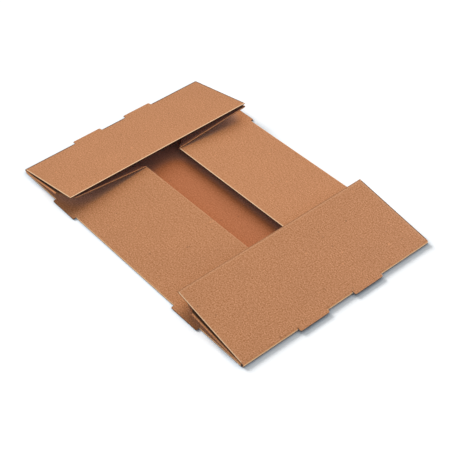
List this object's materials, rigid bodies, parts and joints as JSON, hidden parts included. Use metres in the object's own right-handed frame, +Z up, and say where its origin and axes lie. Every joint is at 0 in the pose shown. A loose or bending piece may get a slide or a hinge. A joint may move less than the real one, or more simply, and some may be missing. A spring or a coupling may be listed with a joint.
{
  "type": "folded-flat paper food tray",
  "caption": "Kraft board food tray folded flat: side walls turned in on the base, end walls over them, gusseted corners glued under the ends.",
  "frame": {"origin": "middle of the base panel, on the surface that the tray lies on", "axes": "+Z up; +X along the length towards the end wall that has sprung open further; +Y across the width"},
  "size_m": [0.246, 0.1566, 0.0164],
  "materials": {
    "kraft_board": "matt uncoated kraft board"
  },
  "bodies": {
    "root": {"folded_tray": "kraft_board"}
  },
  "joints": []
}
